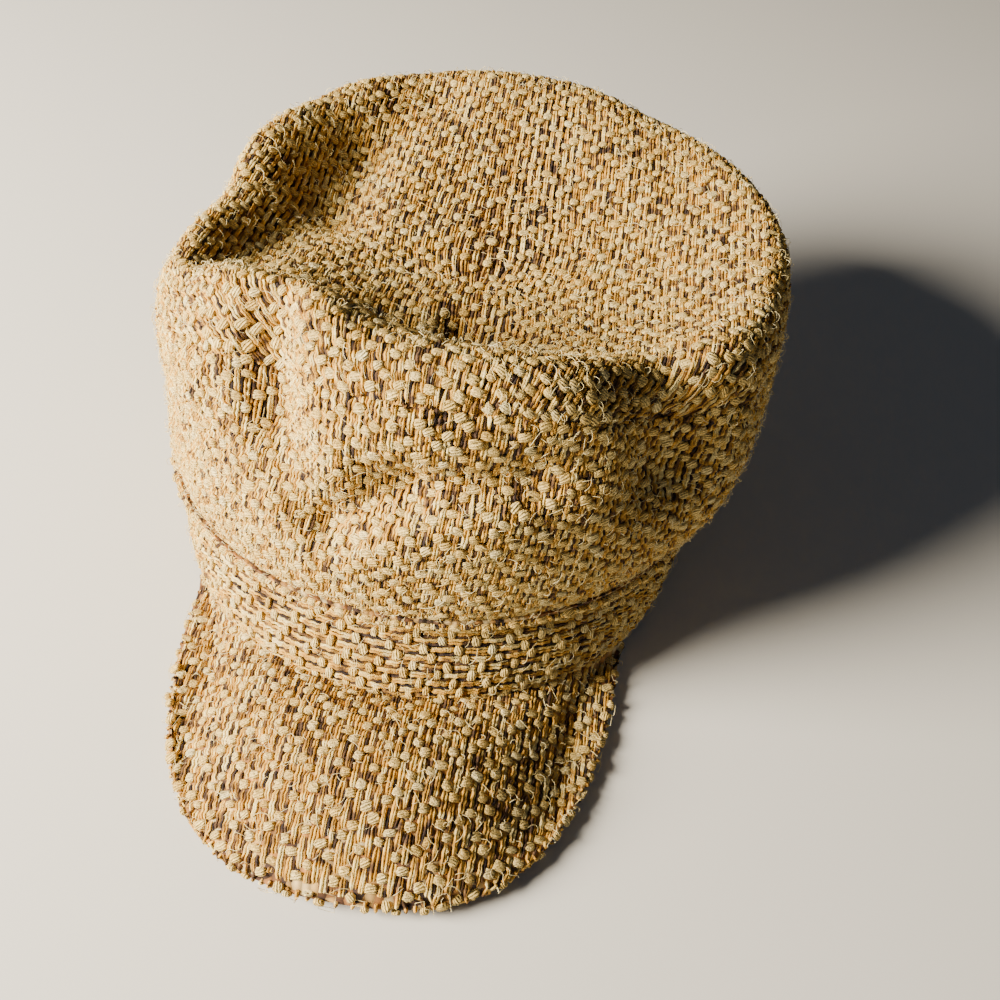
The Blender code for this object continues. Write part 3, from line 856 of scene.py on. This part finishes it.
side_flat = np.stack([side_round[None] / side_end + 0 * level, side_up / side_pick], axis=-1)
wall_piece("crown_side_wall", (side_outside - SUNK * side_normal)[:, :-1],
           (side_outside - WALL * side_normal)[:, :-1], side_flat, False, "crown_side")
side_cuts = np.linspace(0, side_count, 4).astype(int)
side_parts = tuple(zip(("_back_right", "_back_left", "_front"), side_cuts[:-1], side_cuts[1:]))
dress("crown_side", lay_side, side_parts, (0.0, side_up.max()), (0, int(side_up.max() / side_pick) + 1),
      side_end, side_pick, ((0.0, EDGE_CLEAR), (side_round[-1], side_up.max())), 12)

# The crown top
# A round of tweed, its warp running front to back, that rolls over the rim to the seam round
# it. It sinks in the middle and behind the fold that stands up at the front.
TOP_ROWS = 60
TOP_STEPS = 200
RIM_LEVEL = 1.3
top_levels = 1 + np.linspace(0, 1, TOP_ROWS + 1)
angle, level = np.meshgrid(ROUND, top_levels)
top_outside = crown_point(angle, level)
top_normal = outward(crown_point, angle, level)
top_in = run_length(top_outside[::-1], 0)
middle = top_outside[-1].mean(axis=0)
rim = plain_crown(ROUND, np.full_like(ROUND, RIM_LEVEL)) - middle
top_facing = np.unwrap(np.arctan2(rim[:, 1], rim[:, 0]))
top_reach = np.linspace(0, top_in[-1].max() * PAST, TOP_STEPS)
top_level_at = np.stack([
    np.interp(top_reach, column, top_levels[::-1], right=0.9) for column in top_in.T])


def lay_top(across, along, lift):
    """Cloth of the crown top, laid out flat round its middle and followed down over the rim."""
    facing = top_facing[0] + (np.arctan2(along, across) - top_facing[0]) % (2 * math.pi)
    angle = np.interp(facing, top_facing, ROUND)
    row = angle / (2 * math.pi) * (len(ROUND) - 1)
    reach = np.hypot(across, along)
    wide = np.interp(angle, ROUND, top_in[-1])
    on = reach < wide
    level = table_at(top_level_at, row, reach.clip(0.0, top_reach[-1]) / top_reach[1]).clip(1.0, 2.0)
    normal = outward(crown_point, angle, level)
    sink = dip(TIP_DIP, (wide - reach).clip(0.0))
    return crown_point(angle, level) + normal * (lift - sink)[..., None], normal, on


top_flat = top_in[::-1, :, None] * np.stack([np.cos(top_facing), np.sin(top_facing)], axis=-1)
top_flat = top_flat / np.array((END, PICK))
wall_piece("crown_top_wall", (top_outside - SUNK * top_normal)[:, :-1],
           (top_outside - WALL * top_normal)[:, :-1], top_flat, True, "crown_top")
widest = top_in[-1].max()
half_ends = 4 * math.ceil(widest / END / 4)
half_picks = 4 * math.ceil(widest / PICK / 4)
dress("crown_top", lay_top, (("_left", -half_ends, 0), ("_right", 0, half_ends)),
      (-half_picks * PICK, half_picks * PICK), (-half_picks, half_picks), END, PICK,
      ((-widest, -widest), (widest, widest)), 13)

# The peak
# A short rounded board under the same tweed, sewn beneath the front of the hem. The cloth is
# drawn over its edge and its warp runs from the band to the edge.
PEAK_REACH = 0.067
PEAK_WIDTH = 0.160
PEAK_SPREAD = 58.0  # degrees to either side of the front; the cloth ends just inside the solid's corners
PEAK_LIFT = 0.003
PEAK_BOW = 0.006
PEAK_SQUARENESS = 2.5
PEAK_WALL = 0.004
PEAK_ROUND = 0.0018  # half the thickness of the edge, over which the cloth turns
PEAK_ARCH = 0.008  # the cloth over the board stands this much higher in the middle
PEAK_FALL = 1.7  # and falls off towards the sides
PEAK_HALF = 0.060
PEAK_CROWN = 0.7  # less than 1 makes the arch rise sooner from the hem and the edge
PEAK_LOWEST = 0.0004  # the arch never presses the face lower than this over the flat board
BEND = 2.6  # radians through which the cloth turns round the edge
BEYOND = 0.008  # yarns are drawn this far past the edge, then cut
ABOVE = 0.2
GAP = 0.0003
PEAK_ACROSS = 96
PEAK_ROWS = 24


def peak_rows():
    """Rows of points of the peak's upper face: under the hem first, then out to its edge."""
    share = np.linspace(-1.0, 1.0, PEAK_ACROSS + 1)
    hem = band_point(FRONT + math.radians(PEAK_SPREAD) * share, np.zeros_like(share))
    hem[:, 2] -= GAP
    tucked = hem - WALL * direction((hem - HEAD_CENTRE) * LEVEL_ONLY)
    sweep = share * math.pi / 2
    side = np.sign(share) * np.abs(np.sin(sweep)) ** (2 / PEAK_SQUARENESS)
    ahead = np.abs(np.cos(sweep)) ** (2 / PEAK_SQUARENESS)
    corner = hem[0, 1]
    edge = np.stack([
        HEAD_CENTRE[0] + side * PEAK_WIDTH / 2,
        corner - (PEAK_REACH + corner - HEAD_CENTRE[1] + BAND_LENGTH / 2) * ahead,
        PEAK_WALL + PEAK_LIFT * ahead,
    ], axis=-1)
    rows = [tucked]
    for along in np.linspace(0.0, 1.0, PEAK_ROWS):
        row = hem + along * (edge - hem)
        row[:, 2] += PEAK_BOW * math.sin(math.pi * along) * ahead
        arch = 1 - PEAK_FALL * ((row[:, 0] - HEAD_CENTRE[0]) / PEAK_HALF) ** 2
        row[:, 2] = np.maximum(row[:, 2] + PEAK_ARCH * math.sin(math.pi * along) ** PEAK_CROWN * arch,
                               np.minimum(row[:, 2], PEAK_WALL + PEAK_LOWEST))
        rows.append(row)
    return np.array(rows)


peak_upper = peak_rows()
peak_edge = peak_upper[-1].copy()
edge_run = np.gradient(peak_edge[:, :2], axis=0)
edge_out = direction(np.stack([edge_run[:, 1], -edge_run[:, 0]], axis=-1))
edge_out = edge_out * np.sign((edge_out * (peak_edge[:, :2] - peak_upper[1, :, :2])).sum(axis=1))[:, None]
peak_faces = [
    (row * (PEAK_ACROSS + 1) + step, row * (PEAK_ACROSS + 1) + step + 1,
     (row + 1) * (PEAK_ACROSS + 1) + step + 1, (row + 1) * (PEAK_ACROSS + 1) + step)
    for row in range(PEAK_ROWS) for step in range(PEAK_ACROSS)
]
peak_tree = BVHTree.FromPolygons([Vector(point) for point in peak_upper.reshape(-1, 3)], peak_faces)


def lay_peak(across, along, lift):
    """Cloth of the peak, flat over the board and turned down round its edge."""
    shape = across.shape
    x, y, up = across.ravel() + HEAD_CENTRE[0], along.ravel(), lift.ravel()
    away = np.hypot(x[:, None] - peak_edge[None, :, 0], y[:, None] - peak_edge[None, :, 1])
    near = away.argmin(axis=1)
    foot, out = peak_edge[near], edge_out[near]
    beyond = ((np.stack([x, y], axis=-1) - foot[:, :2]) * out).sum(axis=1) + PEAK_ROUND
    bend = (beyond.clip(0.0) / PEAK_ROUND).clip(0.0, BEND + 0.2)
    points = np.zeros((len(x), 3))
    normals = np.zeros((len(x), 3))
    on = bend < BEND
    for index in range(len(x)):
        if beyond[index] > 0:
            turn = bend[index]
            normal = np.array((*(out[index] * math.sin(turn)), math.cos(turn)))
            core = foot[index] - np.array((*(out[index] * PEAK_ROUND), PEAK_ROUND))
            points[index] = core + normal * PEAK_ROUND
            normals[index] = normal
            continue
        hit = peak_tree.ray_cast(Vector((x[index], y[index], ABOVE)), Vector((0.0, 0.0, -1.0)))
        if hit[0] is None:
            on[index] = False
            hit = peak_tree.find_nearest(Vector((x[index], y[index], ABOVE / 10)))
        points[index] = hit[0]
        normals[index] = hit[1] if hit[1].z > 0 else -hit[1]
    points = points + normals * up[:, None]
    points[:, 2] = np.maximum(points[:, 2], TABLE_CLEAR)
    return points.reshape(*shape, 3), normals.reshape(*shape, 3), on.reshape(shape)


RIM_ROWS = 7
upright = np.ones((PEAK_ACROSS + 1, 1))
core = peak_edge - PEAK_ROUND * np.concatenate([edge_out, upright], axis=1)
rim_rows = [
    core + (PEAK_ROUND - SUNK / 2) * np.concatenate(
        [edge_out * math.sin(turn), upright * math.cos(turn)], axis=1)
    for turn in np.linspace(0.0, math.pi, RIM_ROWS)
]
upper = peak_upper[:-1] - np.array((0.0, 0.0, SUNK / 2))
lower = peak_upper[:-1] - np.array((0.0, 0.0, 2 * PEAK_ROUND - SUNK / 2))
loop = np.concatenate([upper, np.array(rim_rows), lower[::-1]])
peak_flat = loop[..., :2] / np.array((END, PICK))
rows, across_count = loop.shape[:2]
faces = []
corners = []
for row in range(rows):
    after = (row + 1) % rows
    for step in range(across_count - 1):
        quad = ((row, step), (after, step), (after, step + 1), (row, step + 1))
        faces.append([r * across_count + s for r, s in quad])
        corners += [peak_flat[r, s] for r, s in quad]
for row in range(rows // 2):
    left = tuple(dict.fromkeys((row, row + 1, rows - 2 - row, rows - 1 - row)))
    for place, order in ((0, -1), (across_count - 1, 1)):
        spots = left[::order]
        faces.append([r * across_count + place for r in spots])
        corners += [peak_flat[r, place] for r in spots]
cloth_wall("peak_board", loop.reshape(-1, 3).tolist(), faces, corners, "peak")
peak_half = 4 * math.ceil((PEAK_WIDTH / 2 + BEYOND) / END / 4)
peak_first = 4 * math.floor((peak_edge[:, 1].min() - BEYOND) / PICK / 4)
peak_last = 4 * math.ceil(peak_upper[0, :, 1].max() / PICK / 4)
dress("peak", lay_peak, (("", -peak_half, peak_half),), (peak_first * PICK, peak_last * PICK),
      (peak_first, peak_last), END, PICK,
      ((-peak_half * END, peak_first * PICK), (peak_half * END, peak_last * PICK)), 14, margin=0.0)

# The stage: a plain pale table, one large soft light from the left and a pale room
FLOOR_SIZE = 6.0
ROOM_LIGHT = 0.055
MATT = 0.9
floor_mesh = bpy.data.meshes.new("floor")
corners = [(x * FLOOR_SIZE / 2, y * FLOOR_SIZE / 2, 0) for x, y in ((-1, -1), (1, -1), (1, 1), (-1, 1))]
floor_mesh.from_pydata(corners, [], [(0, 1, 2, 3)])
floor = bpy.data.objects.new("floor", floor_mesh)
bpy.context.collection.objects.link(floor)
paint = bpy.data.materials.new("pale_matt_paint")
paint.use_nodes = True
paint_sockets = paint.node_tree.nodes["Principled BSDF"].inputs
paint_sockets["Base Color"].default_value = linear("#CFCECC")
paint_sockets["Roughness"].default_value = MATT
floor_mesh.materials.append(paint)

world = bpy.data.worlds.new("room")
bpy.context.scene.world = world
world.use_nodes = True
sky = world.node_tree.nodes["Background"].inputs
sky["Color"].default_value = linear("#D8E2F2")
sky["Strength"].default_value = ROOM_LIGHT


def area_light(name, place, aim, size, power, colour):
    """A round area light of some metres and watts at a place, aimed at another."""
    lamp = bpy.data.lights.new(name, "AREA")
    lamp.shape = "DISK"
    lamp.size = size
    lamp.energy = power
    lamp.color = linear(colour)[:3]
    light = bpy.data.objects.new(name, lamp)
    facing = (Vector(place) - Vector(aim)).to_track_quat("Z", "Y")
    light.matrix_world = Matrix.Translation(place) @ facing.to_matrix().to_4x4()
    bpy.context.collection.objects.link(light)


area_light("window", (-1.04, -0.44, 0.58), (0.0, 0.0, 0.06), 0.6, 96.0, "#FFF2DA")
area_light("room_fill", (0.5, -0.9, 1.3), (0.0, 0.0, 0.05), 1.4, 0.5, "#EEF3FF")

# The camera stands where the photographer did: above the peak, looking down on the cap
CAMERA_ROUND = 4.0  # degrees round from the front
CAMERA_UP = 50.0
CAMERA_AWAY = 0.357
CAMERA_ROLL = 6.0
CAMERA_AIM = (0.028, -0.0278, 0.05)  # from the middle of the band
FILM = 36.0  # mm; the lens is as long as the film is wide
NEAREST = 0.01
turn, up = math.radians(CAMERA_ROUND), math.radians(CAMERA_UP)
towards = Vector((math.sin(turn) * math.cos(up), -math.cos(turn) * math.cos(up), math.sin(up)))
lens = bpy.data.cameras.new("camera")
lens.sensor_width = FILM
lens.lens = FILM
lens.clip_start = NEAREST
camera = bpy.data.objects.new("camera", lens)
bpy.context.collection.objects.link(camera)
camera.matrix_world = (
    Matrix.Translation(Vector(HEAD_CENTRE) + Vector(CAMERA_AIM) + towards * CAMERA_AWAY)
    @ towards.to_track_quat("Z", "Y").to_matrix().to_4x4()
    @ Matrix.Rotation(math.radians(CAMERA_ROLL), 4, "Z")
)
bpy.context.scene.camera = camera
